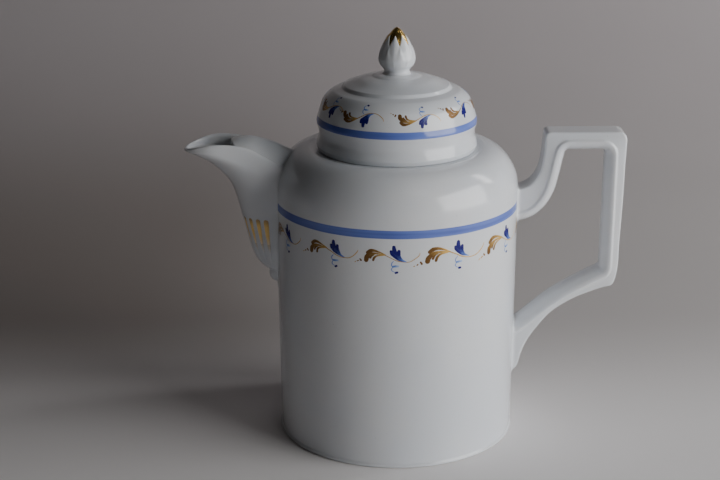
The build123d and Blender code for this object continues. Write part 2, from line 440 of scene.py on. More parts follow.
# ---- body ----
def shoulder_point(angle, inset=0.0):
    """A point on the shoulder at an angle up from the horizontal, set in from the outside."""
    join = min(angle, ARC_JOIN)
    turn, rest = math.radians(join), math.radians(max(angle, join))
    radius = BODY_R - LOWER_ARC * (1 - math.cos(turn)) + UPPER_ARC * (math.cos(rest) - math.cos(turn))
    height = SPRING_Z + LOWER_ARC * math.sin(turn) + UPPER_ARC * (math.sin(rest) - math.sin(turn))
    out = math.radians(angle)
    return radius - inset * math.cos(out), height - inset * math.sin(out)


def body_radius(z):
    """The outside radius of the body's wall below the shoulder."""
    share = np.clip(z / SPRING_Z, 0, 1)
    return BODY_R - FOOT_TAPER * (1 - share) ** TAPER_POWER


def strainer_places():
    """The strainer's holes, in two staggered columns, as (y, z)."""
    places = []
    for row in range(STRAINER_ROWS):
        z = STRAINER_Z + (row - (STRAINER_ROWS - 1) / 2) * STRAINER_PITCH
        places.append((STRAINER_PITCH * STRAINER_ASIDE, z + STRAINER_PITCH / 4))
        places.append((-STRAINER_PITCH * STRAINER_ASIDE, z - STRAINER_PITCH / 4))
    return places


def pierce(piece, places, radius):
    """Cuts round holes through the wall on the spout's side."""
    around = 28
    points, faces = [], []
    for y, z in places:
        first = len(points)
        for x in (-BODY_R - 3, -BODY_R + WALL + 4):
            for turn in np.linspace(0, 2 * math.pi, around, endpoint=False):
                points.append((x, y + radius * math.cos(turn), z + radius * math.sin(turn)))
        faces.append(list(range(first, first + around)))
        faces.append(list(range(first + 2 * around - 1, first + around - 1, -1)))
        for i in range(around):
            j = (i + 1) % around
            faces.append((first + i, first + around + i, first + around + j, first + j))
    drills = add_mesh("drills", points, faces, [])
    cut = piece.modifiers.new("holes", "BOOLEAN")
    cut.operation = "DIFFERENCE"
    cut.solver = "EXACT"
    cut.object = drills
    graph = bpy.context.evaluated_depsgraph_get()
    pierced = bpy.data.meshes.new_from_object(piece.evaluated_get(graph))
    piece.modifiers.clear()
    piece.data = pierced
    bpy.data.objects.remove(drills)


def make_body():
    """The turned body: foot ring, wall, shoulder, lid seat, collar and the inside."""
    foot = BODY_R - FOOT_INSET
    outside = [(0, FOOT_RECESS), (49.2, FOOT_RECESS), (FOOT_RING_INNER, 0.5), (51.6, 0.0), (foot - 1.2, 0.0)]
    outside += [(foot - 0.35, 0.25), (foot, 0.9), (foot - 0.15, 1.6), (foot - 0.75, 2.0)]
    outside += [(body_radius(z) + 0.02, z) for z in np.linspace(2.7, SPRING_Z, 60)]
    outside += [shoulder_point(a) for a in np.linspace(1.5, 90, 60)]
    seat = rounded_path([(42.5, SEAT_Z + 0.77, 0), (SEAT_R, SEAT_Z, 1.0), (COLLAR_R, SEAT_Z, 0.8),
                         (COLLAR_R, COLLAR_TOP, COLLAR_EDGE), (COLLAR_BORE, COLLAR_TOP, COLLAR_EDGE),
                         (COLLAR_BORE, SEAT_Z - NECK_DROP, NECK_ROUND), (43.4, SEAT_Z - NECK_DROP, 0)])
    inside = [shoulder_point(a, WALL) for a in np.linspace(88, 0, 30)]
    inside += [(body_radius(z) - WALL, z) for z in np.linspace(SPRING_Z - 2, FLOOR_Z + 8, 30)]
    floor_r = BODY_R - WALL - 1.2
    inside += rounded_path([(floor_r, FLOOR_Z + FLOOR_ROUND + 1, 0), (floor_r, FLOOR_Z, FLOOR_ROUND),
                            (0, FLOOR_Z, 0)]).tolist()
    profile = outside + seat.tolist() + inside
    piece = lathe("body_shell", profile, [body_glaze, biscuit])
    for face in piece.data.polygons:
        centre = face.center / MM
        on_the_ring = math.hypot(centre.x, centre.y) > FOOT_RING_INNER
        if on_the_ring and centre.z < 0.4:
            face.material_index = 1
    pierce(piece, strainer_places(), STRAINER_HOLE)
    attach(piece, "pot")
    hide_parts("pot_body")


def body_field(x, y, z):
    """How far a point is outside the body."""
    rho = np.hypot(x, y)
    low_r, low_z = BODY_R - LOWER_ARC, SPRING_Z
    turn = math.radians(ARC_JOIN)
    high_r = low_r + (LOWER_ARC - UPPER_ARC) * math.cos(turn)
    high_z = low_z + (LOWER_ARC - UPPER_ARC) * math.sin(turn)
    wall = rho - body_radius(z)
    lower = np.hypot(rho - low_r, z - low_z) - LOWER_ARC
    upper = np.hypot(rho - high_r, z - high_z) - UPPER_ARC
    angle = np.arctan2(z - low_z, rho - low_r)
    field = np.where(angle < turn, lower, upper)
    field = np.where(rho < high_r, z - (high_z + UPPER_ARC), field)
    return np.where(z < low_z, wall, field)


# ---- spout ----
# height, reach along -X, where the rounded nose starts, half width
SPOUT_ROWS = (
    (82.0, 59.6, 55.0, 4.5), (84.2, 64.8, 56.5, 7.0),
    (86.4, 67.5, 57.0, 8.6), (90.0, 70.1, 57.0, 10.0),
    (96.0, 72.4, 57.0, 10.9), (104.0, 74.5, 57.0, 11.3),
    (112.0, 76.5, 57.0, 11.5), (119.0, 78.3, 57.5, 11.7),
    (125.8, 80.4, 58.8, 12.0), (130.4, 83.0, 61.5, 12.1),
    (134.6, 86.8, 66.0, 12.2), (138.4, 91.0, 72.0, 12.3),
    (140.8, 94.9, 77.5, 12.3), (142.6, 98.6, 82.0, 12.3),
    (144.4, 102.4, 85.5, 12.3), (145.8, 104.2, 87.0, 12.3),
    (156.0, 105.0, 88.0, 12.3),
)
# distance out along -X, height of the roof or rim at the middle, height of its edge
ROOF_ROWS = (
    (40.0, 140.5, 131.0), (50.0, 144.0, 134.4),
    (55.0, 146.2, 137.2), (60.0, 148.5, 140.2),
    (66.0, 150.4, 143.7), (71.0, 151.4, 146.5),
    (76.0, 151.2, 147.9), (81.0, 150.1, 148.6),
    (86.0, 149.3, 148.8), (91.0, 149.0, 148.6),
    (96.0, 148.3, 148.1), (100.0, 147.1, 146.9),
    (103.5, 145.7, 145.5), (108.0, 142.6, 142.6),
)
FLUTE_ANGLES = (0, 18, 37, 53, 67)  # degrees round the nose, the same on both sides
FLUTE_HEAD = 111.4        # height of the flutes' rounded heads
FLUTE_HEAD_ROUND = 1.2    # how far down the rounding of a head reaches
FLUTE_FOOT = 86.0
FLUTE_FADE = 10.0         # the flutes deepen over this height above their feet
FLUTE_DEPTH = 0.62
FLUTE_HALF = 1.6          # half a flute's width at its foot, in degrees
FLUTE_HALF_GAIN = 3.0     # and how much that grows up to its head
ROOF_HALF = 11.5          # distance from the middle at which the roof's edge height is given
ROOF_SOFT = 0.05          # how softly the roof's two slopes meet
ROOF_RIDGE = 0.2236       # square root of ROOF_SOFT
ROOF_SPAN = 0.8011        # the rise from the ridge to ROOF_HALF, before scaling
EDGE_LINE_RISE = 0.9      # a fine raised line along the edge of the roof
EDGE_LINE_INSET = 0.8
EDGE_LINE_WIDTH = 0.7
EDGE_LINE_END = (90, 97)  # it fades out between these distances along -X
STUB_CENTRE = (-59.4, 0.0, 81.2)  # the rounded foot of the spout
STUB_SIZE = (4.2, 3.9, 4.9)
SPOUT_WALL = 1.7          # wall thickness at the lip
SPOUT_WALL_GAIN = 1.2     # and how much thicker it is at the body
BRIDGE_END = 81.2         # the roof covers the channel out to here, along -X
BRIDGE_CURVE = 2.4        # and its edge curves back by this much at 10 mm from the middle
ROOF_WALL = 2.3
CHANNEL_LOW = 95.0        # the channel's floor, at the body
CHANNEL_CLIMB = 44.5      # its climb under the roof
CHANNEL_LAST = 3.6        # and its last climb to the lip
CHANNEL_ROUND = 1.5
ROOF_EDGE_ROUND = 0.5
STUB_ROUND = 0.7
SPOUT_FILLET = 0.9        # where the spout meets the body
SPOUT_SKIRT = 0.7         # how far that fillet may stand off the spout
LIP_ROUND = 0.8


def nose_frame(x, y, z):
    """Where a point lies in its level slice of the spout: angle round the nose, and slice sizes."""
    out = -x
    reach = table(SPOUT_ROWS, 1, z)
    start = table(SPOUT_ROWS, 2, z)
    half = table(SPOUT_ROWS, 3, z)
    along = np.maximum(out - start, 0)
    angle = np.degrees(np.arctan2(y / half, np.maximum(along / (reach - start), 1e-6)))
    return along, angle, reach - start, half


def nose_field(x, y, z, inset=0.0):
    """The flanks of the spout, without its roof."""
    along, _, length, half = nose_frame(x, y, z)
    length = np.maximum(length - inset, 0.5)
    half = np.maximum(half - inset, 0.5)
    ratio = np.hypot(along / length, y / half)
    return (ratio - 1) * np.minimum(length, half)


def flute_depth(x, y, z):
    """1 along the middle of each flute, falling to 0 at its edges and head."""
    _, angle, _, _ = nose_frame(x, y, z)
    away = np.min([np.abs(np.abs(angle) - flute) for flute in FLUTE_ANGLES], axis=0)
    half = FLUTE_HALF + FLUTE_HALF_GAIN * ease(FLUTE_FOOT, FLUTE_HEAD, z)
    head = np.maximum(z - (FLUTE_HEAD - FLUTE_HEAD_ROUND), 0) / FLUTE_HEAD_ROUND
    inside = 1 - np.hypot(away / half, head) ** 2
    return np.clip(inside, 0, 1) * ease(FLUTE_FOOT, FLUTE_FOOT + FLUTE_FADE, z)


def roof_field(x, y, z, drop=0.0):
    """How far a point is above the roof, a gently rounded tent across the spout."""
    out = -x
    middle = table(ROOF_ROWS, 1, out)
    edge = table(ROOF_ROWS, 2, out)
    across = (np.sqrt((y / ROOF_HALF) ** 2 + ROOF_SOFT) - ROOF_RIDGE) / ROOF_SPAN
    return z - middle + (middle - edge) * across + drop


def spout_outside(x, y, z):
    """The spout's solid outside: fluted flanks, roof and rounded foot."""
    flank = nose_field(x, y, z) + FLUTE_DEPTH * flute_depth(x, y, z)
    line = EDGE_LINE_RISE * np.exp(-((flank + EDGE_LINE_INSET) / EDGE_LINE_WIDTH) ** 2)
    line = line * (1 - ease(*EDGE_LINE_END, -x))
    outer = blend_max(flank, (roof_field(x, y, z) - line) * 0.85, ROOF_EDGE_ROUND)
    shares = [(p - c) / size for p, c, size in zip((x, y, z), STUB_CENTRE, STUB_SIZE)]
    stub = np.sqrt(shares[0] ** 2 + shares[1] ** 2 + shares[2] ** 2)
    return blend_min(outer, (stub - 1) * 3.6, STUB_ROUND)


def spout_inside(x, y, z):
    """The channel, covered by the roof near the body and open at the beak."""
    wall = SPOUT_WALL + SPOUT_WALL_GAIN * (1 - ease(70, 84, -x))
    bore = nose_field(x, y, z, wall)
    bridge_edge = BRIDGE_END - BRIDGE_CURVE * (y / 10.0) ** 2
    bridge = blend_max(-x - bridge_edge, -roof_field(x, y, z, ROOF_WALL), 0.9)
    bore = blend_max(bore, -bridge, 0.5)
    channel = CHANNEL_LOW + CHANNEL_CLIMB * ease(64, 80, -x) + CHANNEL_LAST * ease(80, 94, -x)
    return blend_max(bore, (channel - z) * 0.7, CHANNEL_ROUND)


def spout_field(x, y, z):
    """The whole spout, joined to the body's wall with a small fillet and hollowed."""
    outer = spout_outside(x, y, z)
    body = body_field(x, y, z)
    joined = blend_min(outer, body, SPOUT_FILLET)
    joined = np.maximum(joined, np.maximum(-body - SKIN, outer - SPOUT_SKIRT))
    return blend_max(joined, -spout_inside(x, y, z), LIP_ROUND)


def make_spout():
    step = FINE_STEP
    low = (-TIP_X - 2.0, -17.0, 74.0)
    high = (-44.0, 17.0, 154.0)
    points, faces = surface_net(spout_field, low, high, step)
    piece = add_mesh("spout_beak", points, faces, [gilded_glaze])
    x, y, z = points.T
    outside = nose_field(x, y, z) > -1.2
    gilt = np.clip(flute_depth(x, y, z) * 2.4, 0, 1) * outside
    wear = ease(FLUTE_FOOT + 6.5, FLUTE_FOOT + 17.5, z) * 0.95
    # painted shade: the gilding darkens toward the flutes' hollow heads, where shade falls
    pooled = 0.75 * ease(FLUTE_HEAD - 4.0, FLUTE_HEAD, z)
    paint_values(piece, gilt=gilt, wear=wear, polish=0.0, pooled=pooled)
    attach(piece, "pot")
    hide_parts("spout")


# ---- handle ----
BAR_HEIGHT = 9.5          # from the top of the bar down to the opening, in the middle
CROWN_DROP = 3.4          # the inner face curves away from its middle to both sides
CROWN_POWER = 2.4
BEAD_END = CROWN_DROP + 1.5  # then come a rounded bead, a step and a sloping face
STEP_END = BEAD_END + 1.3
STEP_DROP = 0.85
SLOPE_DROP = 0.7
SIDE_ROUND = 1.0
CROWN_ROUND = 1.1
ROOT_FILLET = 2.0         # the handle's roots flow into the body
ROOT_SKIRT = 1.7


def handle_lines():
    """The handle's outer and inner outlines in the XZ plane."""
    right, top = HANDLE_X, HANDLE_TOP
    bar = top - BAR_HEIGHT
    upper_out = curve_through([(54.0, 124.2), (61.4, 125.1), (66.8, 128.3), (70.2, 134.0),
                               (71.6, 141.5), (72.1, 147.5)], 10)
    corners = rounded_path([(72.1, 147.5, 0), (72.5, top, 2.4), (right - 0.3, top, 5.0),
                            (right - 0.9, 138.0, 0)], 10)
    grip = curve_through([(right - 0.9, 138.0), (111.4, 118.0), (110.6, 98.0), (110.4, 86.0),
                          (109.5, 79.2), (108.4, 75.6)], 8)
    lower_out = curve_through([(107.2, 74.4), (103.0, 73.4), (97.1, 71.4), (87.2, 67.1),
                               (77.4, 60.4), (69.9, 51.4), (65.6, 44.6), (62.9, 37.8),
                               (61.4, 32.4), (59.6, 30.2), (54.0, 29.0)], 8)
    outer = np.vstack([upper_out, corners[1:], grip[1:], lower_out])
    lower_in = curve_through([(54.0, 52.3), (61.0, 57.3), (69.0, 63.9), (76.5, 70.0), (84.1, 74.8),
                              (94.0, 80.2), (98.7, 82.5)], 8)
    opening = rounded_path([(98.7, 82.5, 0), (101.3, 83.8, 1.6), (101.9, bar, 2.5), (83.0, bar, 1.9),
                            (81.7, 139.0, 0)], 8)
    upper_in = curve_through([(81.7, 139.0), (80.1, 131.3), (77.9, 123.0), (73.9, 115.8),
                              (67.9, 110.3), (61.0, 107.8), (54.0, 106.8)], 8)
    inner = np.vstack([lower_in, opening[1:], upper_in[1:]])
    return outer, inner


def distance_to(line, x, z):
    """How far points are from an open line of straight pieces."""
    best = np.full(x.shape, 1e9)
    for (ax, az), (bx, bz) in zip(line[:-1], line[1:]):
        ex, ez = bx - ax, bz - az
        t = np.clip(((x - ax) * ex + (z - az) * ez) / max(ex * ex + ez * ez, 1e-12), 0, 1)
        best = np.minimum(best, np.hypot(x - ax - t * ex, z - az - t * ez))
    return best


def encloses(loop, x, z):
    """Whether points are inside a closed loop."""
    inside = np.zeros(x.shape, bool)
    for (ax, az), (bx, bz) in zip(loop, np.roll(loop, -1, axis=0)):
        if az == bz:
            continue
        crossing = ((az > z) != (bz > z)) & (x < (bx - ax) * (z - az) / (bz - az) + ax)
        inside ^= crossing
    return inside


class HandlePlan:
    """Distances to the handle's outlines, worked out once on a fine grid and read between its points."""

    def __init__(self):
        self.low = np.array([50.0, 24.0])
        self.step = 0.25
        xs = np.arange(self.low[0], HANDLE_X + 6, self.step)
        zs = np.arange(self.low[1], HANDLE_TOP + 6, self.step)
        x, z = np.meshgrid(xs, zs, indexing="ij")
        outer, inner = handle_lines()
        self.outer = distance_to(outer, x, z)
        self.inner = distance_to(inner, x, z)
        sign = np.where(encloses(np.vstack([outer, inner]), x, z), -1.0, 1.0)
        self.edge = sign * np.minimum(self.outer, self.inner)

    def read(self, grid, x, z):
        """A grid's value between its points."""
        i = np.clip((x - self.low[0]) / self.step, 0, grid.shape[0] - 1.001)
        k = np.clip((z - self.low[1]) / self.step, 0, grid.shape[1] - 1.001)
        i0, k0 = i.astype(int), k.astype(int)
        across, up = i - i0, k - k0
        lower = grid[i0, k0] * (1 - across) + grid[i0 + 1, k0] * across
        upper = grid[i0, k0 + 1] * (1 - across) + grid[i0 + 1, k0 + 1] * across
        return lower * (1 - up) + upper * up


def make_handle():
    plan = HandlePlan()

    def field(x, y, z):
        edge = plan.read(plan.edge, x, z)
        outer = plan.read(plan.outer, x, z)
        inner = plan.read(plan.inner, x, z)
        share = (inner - STEP_END) / np.maximum(outer + inner - STEP_END, 0.5)
        slope = SLOPE_DROP * np.clip(share, 0, 1)
        side = np.abs(y) - (HALF_DEPTH - STEP_DROP * ease(BEAD_END, STEP_END, inner) - slope)
        across = np.clip(np.abs(y) / HALF_DEPTH, 0, 1.3)
        steepness = CROWN_POWER * CROWN_DROP / HALF_DEPTH * across ** (CROWN_POWER - 1)
        crown = (CROWN_DROP * across ** CROWN_POWER - inner) / np.hypot(1, steepness)
        bar = blend_max(edge, side, SIDE_ROUND)
        bar = blend_max(bar, crown, CROWN_ROUND)
        body = body_field(x, y, z)
        joined = blend_min(bar, body, ROOT_FILLET)
        return np.maximum(joined, np.maximum(-body - SKIN, bar - ROOT_SKIRT))

    step = FINE_STEP
    low = (50.0, -HALF_DEPTH - 3.0, 26.0)
    high = (HANDLE_X + 1.5, HALF_DEPTH + 3.0, HANDLE_TOP + 1.5)
    points, faces = surface_net(field, low, high, step)
    piece = add_mesh("handle_loop", points, faces, [plain_glaze])
    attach(piece, "pot")
    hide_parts("handle")


# ---- lid ----
def lid_outside():
    """The lid's outside profile, from its rim up to the flat that carries the bud."""
    rim = rounded_path([(LID_R - LID_LIP, SEAT_Z, 0), (LID_R - 0.55, SEAT_Z, 1.1),
                        (LID_R - 0.1, SEAT_Z + 2.2, 0)])
    wall = curve_through([(LID_R, SEAT_Z + 2.4), (LID_R - 0.45, 150.2), (LID_R - 1.2, 152.9),
                          (LID_R - 0.9, 155.8), (LID_R - 0.15, 158.4), (LID_R - 0.15, 160.2),
                          (LID_R - 0.9, 162.6), (LID_R - 1.9, 166.0), (LID_R - 3.3, 169.6),
                          (33.9, 172.0), (31.2, 174.0), (28.6, 174.9)], 10)
    step = rounded_path([(28.6, 174.9, 0), (26.8, 175.3, 1.1), (25.7, 176.9, 1.1), (22.5, 178.0, 0)])
    # a low ring runs round the bud
    crown = curve_through([(22.5, 178.0), (18.0, LID_TOP - 2.3), (14.5, LID_TOP - 1.5),
                           (12.2, LID_TOP - 1.15), (11.0, LID_TOP - 0.7), (9.6, LID_TOP - 0.35),
                           (8.0, LID_TOP - 0.15), (7.0, LID_TOP)], 8)
    return np.vstack([rim, wall, step[1:], crown[1:]])


def make_lid():
    """The cap: outside, and the inside that clears the collar."""
    outside = lid_outside()
    bore = COLLAR_R + LID_CLEARANCE
    inside = curve_through([(0, LID_TOP - 4.8), (12.0, 176.6), (22.0, 174.6), (30.0, 170.2),
                            (bore - 0.6, 162.5), (bore, COLLAR_TOP), (bore, SEAT_Z + 1.5)], 8)
    base = rounded_path([(bore, SEAT_Z + 1.5, 0), (bore, SEAT_Z, 0.5), (LID_R - LID_LIP, SEAT_Z, 0)])
    # from the inside of the crown, out under the rim and back up over the outside
    profile = np.vstack([inside[:-1], base[:-1], outside, [(0, LID_TOP)]])
    piece = lathe("lid_cap", profile, [lid_glaze], 240)
    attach(piece, "lid")
    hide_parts("lid")


# ---- finial ----
LEAVES = 8
FIRST_LEAF = math.radians(-90 - 12.6)
UPPER_LEAVES = (201.0, 195.5, 0.75)  # height of the tips, height of full width, how blunt they are
LOWER_LEAVES = (196.6, 185.0, 0.8)
LEAF_SPREAD = 0.56        # half a leaf's full width, as a share of the leaves' pitch
KEEL_HALF = 0.42          # half the width of the ridge along a leaf, in radians
KEEL_RISE = 0.26
LOW_KEEL_RISE = (0.06, 0.16)  # the lower leaves' ridge at its foot, and what it gains
UPPER_RISE = 0.20         # thickness of the upper leaves, and of the lower ones over them
LOWER_RISE = 0.34
GROUND_DROP = 0.45        # the ground between the leaves lies this far in
GILT_FROM = 193           # gilding starts above this height


def leaf_margin(angle, z, phase, tip, base_z, power):
    """How far a point is inside the nearest leaf of a row, and how far from its middle, in radians."""
    pitch = 2 * math.pi / LEAVES
    away = np.abs((angle - phase + pitch / 2) % pitch - pitch / 2)
    share = np.clip((tip - z) / (tip - base_z), 0, 1)
    width = pitch * LEAF_SPREAD * share ** power
    return np.where(z > tip, -away, width - away), away


def make_finial():
    """A bud of two rows of pointed leaves round a gilded heart."""
    base, tip = bud_low[2], bud_high[2]
    shape = curve_through([(7.0, base), (6.1, base + 1.4), (6.8, base + 2.8), (8.2, base + 4.4),
                           (9.0, base + 6.8), (8.8, base + 9.2), (8.0, base + 12.0), (6.6, base + 15.0),
                           (4.9, base + 18.0), (3.0, base + 20.4), (1.4, base + 21.9), (0.0, tip)], 14)
    around = 360
    angles = np.linspace(0, 2 * math.pi, around, endpoint=False)
    points, gilt = [], []
    for radius, z in shape[:-1]:
        heights = np.full(around, z)
        upper, upper_away = leaf_margin(angles, heights, FIRST_LEAF, *UPPER_LEAVES)
        between = FIRST_LEAF + math.pi / LEAVES
        lower, lower_away = leaf_margin(angles, heights, between, *LOWER_LEAVES)
        grow = ease(base + 1.0, base + 5.0, z)
        soft_low = ease(base + 4.0, base + 11.0, z)
        keel_up = KEEL_RISE * np.clip(1 - upper_away / KEEL_HALF, 0, 1)
        keel_low = LOW_KEEL_RISE[0] + LOW_KEEL_RISE[1] * soft_low
        keel_low = keel_low * np.clip(1 - lower_away / KEEL_HALF, 0, 1)
        layer = ease(-0.04, 0.08, upper) * (UPPER_RISE + keel_up)
        over = ease(-0.05, 0.16, lower)
        layer = layer * (1 - over) + over * (LOWER_RISE + keel_low)
        scale = min(1.0, radius / 3.0)
        ring_radii = radius - GROUND_DROP * grow * scale + layer * grow * scale
        points.extend(zip(ring_radii * np.cos(angles), ring_radii * np.sin(angles), heights))
        gilt.extend(np.where(z > GILT_FROM, np.clip(0.5 - upper * 9.0, 0, 1), 0.0))
    count = len(shape) - 1
    faces = grid_faces(count, around, closed=True)
    points.append((0, 0, tip))
    gilt.append(1.0)
    points.append((0, 0, base))
    gilt.append(0.0)
    for i in range(around):
        j = (i + 1) % around
        faces.append(((count - 1) * around + i, (count - 1) * around + j, len(points) - 2))
        faces.append((j, i, len(points) - 1))
    piece = add_mesh("finial_bud", points, faces, [gilded_glaze])
    paint_values(piece, gilt=gilt, wear=1.0, polish=1.0, pooled=0.0)
    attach(piece, "lid")
    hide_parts("lid_finial")


# ---- painted borders ----
# each stroke: colour, points (along, up) from the blue leaf's tip, in millimetres,
# widths, tone at its start and at its end
MOTIF = (
    ("cobalt", ((0.0, -0.2), (0.15, -2.2), (1.2, -4.4), (3.2, -6.4), (6.1, -7.7)),
     (1.5, 2.1, 1.7, 1.2, 0.3), 0.0, 0.9),
    ("cobalt", ((-1.5, -2.4), (-1.0, -3.6), (0.6, -5.2), (2.6, -6.6), (5.2, -7.6)),
     (1.3, 1.6, 1.3, 0.9, 0.3), 0.0, 0.7),
    ("cobalt", ((2.3, -2.3), (2.3, -3.8), (2.9, -5.4), (4.2, -6.9), (6.2, -7.8)),
     (1.5, 1.8, 1.4, 0.9, 0.3), 0.05, 1.1),
    ("gold", ((-12.9, -3.3), (-11.4, -2.3), (-9.3, -2.3), (-6.8, -3.1), (-4.0, -4.3)),
     (1.5, 1.7, 1.2, 0.8, 0.4), 0.1, 0.8),
    ("gold", ((-13.5, -7.2), (-13.2, -5.7), (-11.6, -4.3), (-8.8, -3.7), (-4.2, -4.4)),
     (2.0, 2.1, 1.6, 0.9, 0.4), 0.0, 0.8),
    ("gold", ((-11.4, -6.1), (-10.8, -5.0), (-9.5, -4.3)), (1.0, 1.0, 0.6), 0.1, 0.5),
    ("gold", ((-10.0, -7.1), (-9.5, -5.7), (-8.0, -4.8), (-4.5, -4.5)), (1.1, 1.1, 0.8, 0.4), 0.1, 0.9),
    ("gold", ((-4.4, -4.3), (-1.5, -5.8), (1.3, -7.1), (4.5, -7.8), (7.7, -7.6), (10.1, -6.4), (12.0, -4.7),
              (12.5, -3.3)), (0.5, 0.42, 0.4, 0.36, 0.36, 0.4, 0.42, 0.25), 0.6, 0.9),
    ("gold", ((-19.2, -8.7), (-18.8, -8.5)), (0.4, 0.45), 0.7, 0.7),
    ("gold", ((-17.9, -8.1), (-17.4, -7.8)), (0.55, 0.6), 0.4, 0.4),
    ("gold", ((-16.4, -6.9), (-16.0, -7.6)), (0.75, 0.85), 0.2, 0.2),
    ("pale", ((-0.1, -7.3), (-1.0, -8.4), (-1.0, -9.6), (-0.3, -10.2)), (0.35, 0.5, 0.5, 0.4), 0.5, 0.3),
    ("pale", ((-0.5, -10.1), (0.8, -10.0), (2.2, -9.9)), (0.8, 1.1, 0.9), 0.2, 0.9),
    ("pale", ((-0.3, -10.3), (-1.0, -11.4), (-0.5, -12.4), (0.9, -13.0)), (0.4, 0.5, 0.45, 0.3), 0.3, 0.7),
    ("cobalt", ((1.0, -13.2), (1.6, -13.0)), (1.0, 1.0), 0.15, 0.25),
)
PAINTS = {"cobalt": cobalt, "gold": gold_paint, "pale": pale_blue}
LEAF_ROOT = np.array([-4.4, -4.3])  # where the gold leaf meets its stem
PAINT_EDGE = -0.02        # a stroke's edge sinks just under the glaze
PAINT_MIDDLE = 0.09       # and its middle stands this far proud
PAINT_SPREAD = 1.25       # a loaded brush spreads past its drawn width
ACROSS = 7                # points across a stroke
CAPS = 5                  # rows in each of its round ends


def brush(points, widths, first_tone, last_tone):
    """One brush stroke on the flat: rows of points across it, with their height and tone."""
    line = curve_through(points, 8)
    share = np.linspace(0, len(widths) - 1, len(line))
    half = np.interp(share, range(len(widths)), widths) / 2
    hops = np.linalg.norm(np.diff(line, axis=0), axis=1)
    run = np.concatenate([[0], np.cumsum(hops)])
    heading = np.gradient(line, axis=0)
    heading /= np.maximum(np.linalg.norm(heading, axis=1, keepdims=True), 1e-9)
    # the round ends reach half a width past the first and last points
    start, end = [], []
    for t in np.linspace(0, math.pi / 2, CAPS, endpoint=False):
        start.append((line[0] - heading[0] * half[0] * math.cos(t), heading[0], half[0] * math.sin(t)))
        end.append((line[-1] + heading[-1] * half[-1] * math.cos(t), heading[-1], half[-1] * math.sin(t)))
    middle = list(zip(line, heading, half))
    rows, lifts, tones = [], [], []
    everything = start + middle + end[::-1]
    for number, (centre, ahead, width) in enumerate(everything):
        side = np.array([-ahead[1], ahead[0]])
        progress = np.clip((number - CAPS) / max(len(middle) - 1, 1), 0, 1)
        for k in range(ACROSS):
            place = 2 * k / (ACROSS - 1) - 1
            rows.append(centre + side * place * max(width, 0.02) * PAINT_SPREAD)
            rise = (PAINT_MIDDLE - PAINT_EDGE) * min(1, 0.6 + 0.4 * width) * (1 - place ** 4)
            lifts.append(PAINT_EDGE + rise)
            tones.append(first_tone + (last_tone - first_tone) * progress ** 1.3 + 0.15 * place ** 2)
    return np.array(rows), np.array(lifts), np.array(tones), len(everything)


def border(name, surface, places, scale, flip, body, seed):
    """Paints the motif at each place (angle, height, leaf size, leaf drop), one object for each colour."""
    chance = np.random.default_rng(seed)
    gathered = {colour: ([], [], []) for colour in PAINTS}
    for angle, up, leaf_size, leaf_drop in places:
        size = scale * (1 + chance.normal(0, 0.025))
        lean = chance.normal(0, 0.02)
        load = chance.normal(0, 0.10)
        for colour, points, widths, first, last in MOTIF:
            moved = np.array(points) + chance.normal(0, 0.07, (len(points), 2))
            thick = np.array(widths) * (1 + chance.normal(0, 0.05, len(widths)))
            # the gold leaf grows from the stem's start, and may hang lower than its neighbours
            if moved[0, 0] < LEAF_ROOT[0]:
                share = np.clip((LEAF_ROOT[0] - moved[:, 0]) / 9.0, 0, 1.4)
                moved = LEAF_ROOT + (moved - LEAF_ROOT) * leaf_size
                moved[:, 1] -= leaf_drop * share
                thick *= leaf_size
            moved = moved @ np.array([[1, lean], [-lean, 1]]) * size
            shift = load if colour == "gold" else 0.25 * load
            rows, lifts, tones, count = brush(moved, thick * size, first + shift, last + shift)
            if flip:
                rows[:, 1] *= -1
            verts, faces, shades = gathered[colour]
            offset = sum(len(v) for v in verts)
            verts.append(surface(angle, up, rows, lifts))
            shades.append(tones)
            for quad in grid_faces(count, ACROSS, offset):
                faces.append(quad if flip else quad[::-1])
    for colour, (verts, faces, shades) in gathered.items():
        piece = add_mesh(f"{name}_{colour}", np.vstack(verts), faces, [PAINTS[colour]])
        paint_values(piece, tone=np.concatenate(shades))
        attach(piece, body)


def on_body(angle, up, rows, lifts):
    """Lays flat points on the body's wall, round a place given by its angle and height."""
    z = up + rows[:, 1]
    radius = body_radius(z)
    turn = math.radians(angle - 90) + rows[:, 0] / BODY_R
    out = radius + lifts
    return np.stack([out * np.cos(turn), out * np.sin(turn), z], axis=1)


LID_LINE = lid_outside()
LID_RUN = np.concatenate([[0], np.cumsum(np.linalg.norm(np.diff(LID_LINE, axis=0), axis=1))])


def on_lid(angle, up, rows, lifts):
    """Lays flat points on the lid's side, measured along its profile from the height given."""
    start = np.interp(up, LID_LINE[:, 1], LID_RUN)
    run = start + rows[:, 1]
    radius = np.interp(run, LID_RUN, LID_LINE[:, 0])
    z = np.interp(run, LID_RUN, LID_LINE[:, 1])
    before = [np.interp(run - 0.3, LID_RUN, column) for column in LID_LINE.T]
    after = [np.interp(run + 0.3, LID_RUN, column) for column in LID_LINE.T]
    inward, rise = after[0] - before[0], after[1] - before[1]
    size = np.hypot(rise, inward)
    radius = radius + lifts * rise / size
    z = z - lifts * inward / size
    turn = math.radians(angle - 90) + rows[:, 0] / (LID_R - 2.0)
    return np.stack([radius * np.cos(turn), radius * np.sin(turn), z], axis=1)


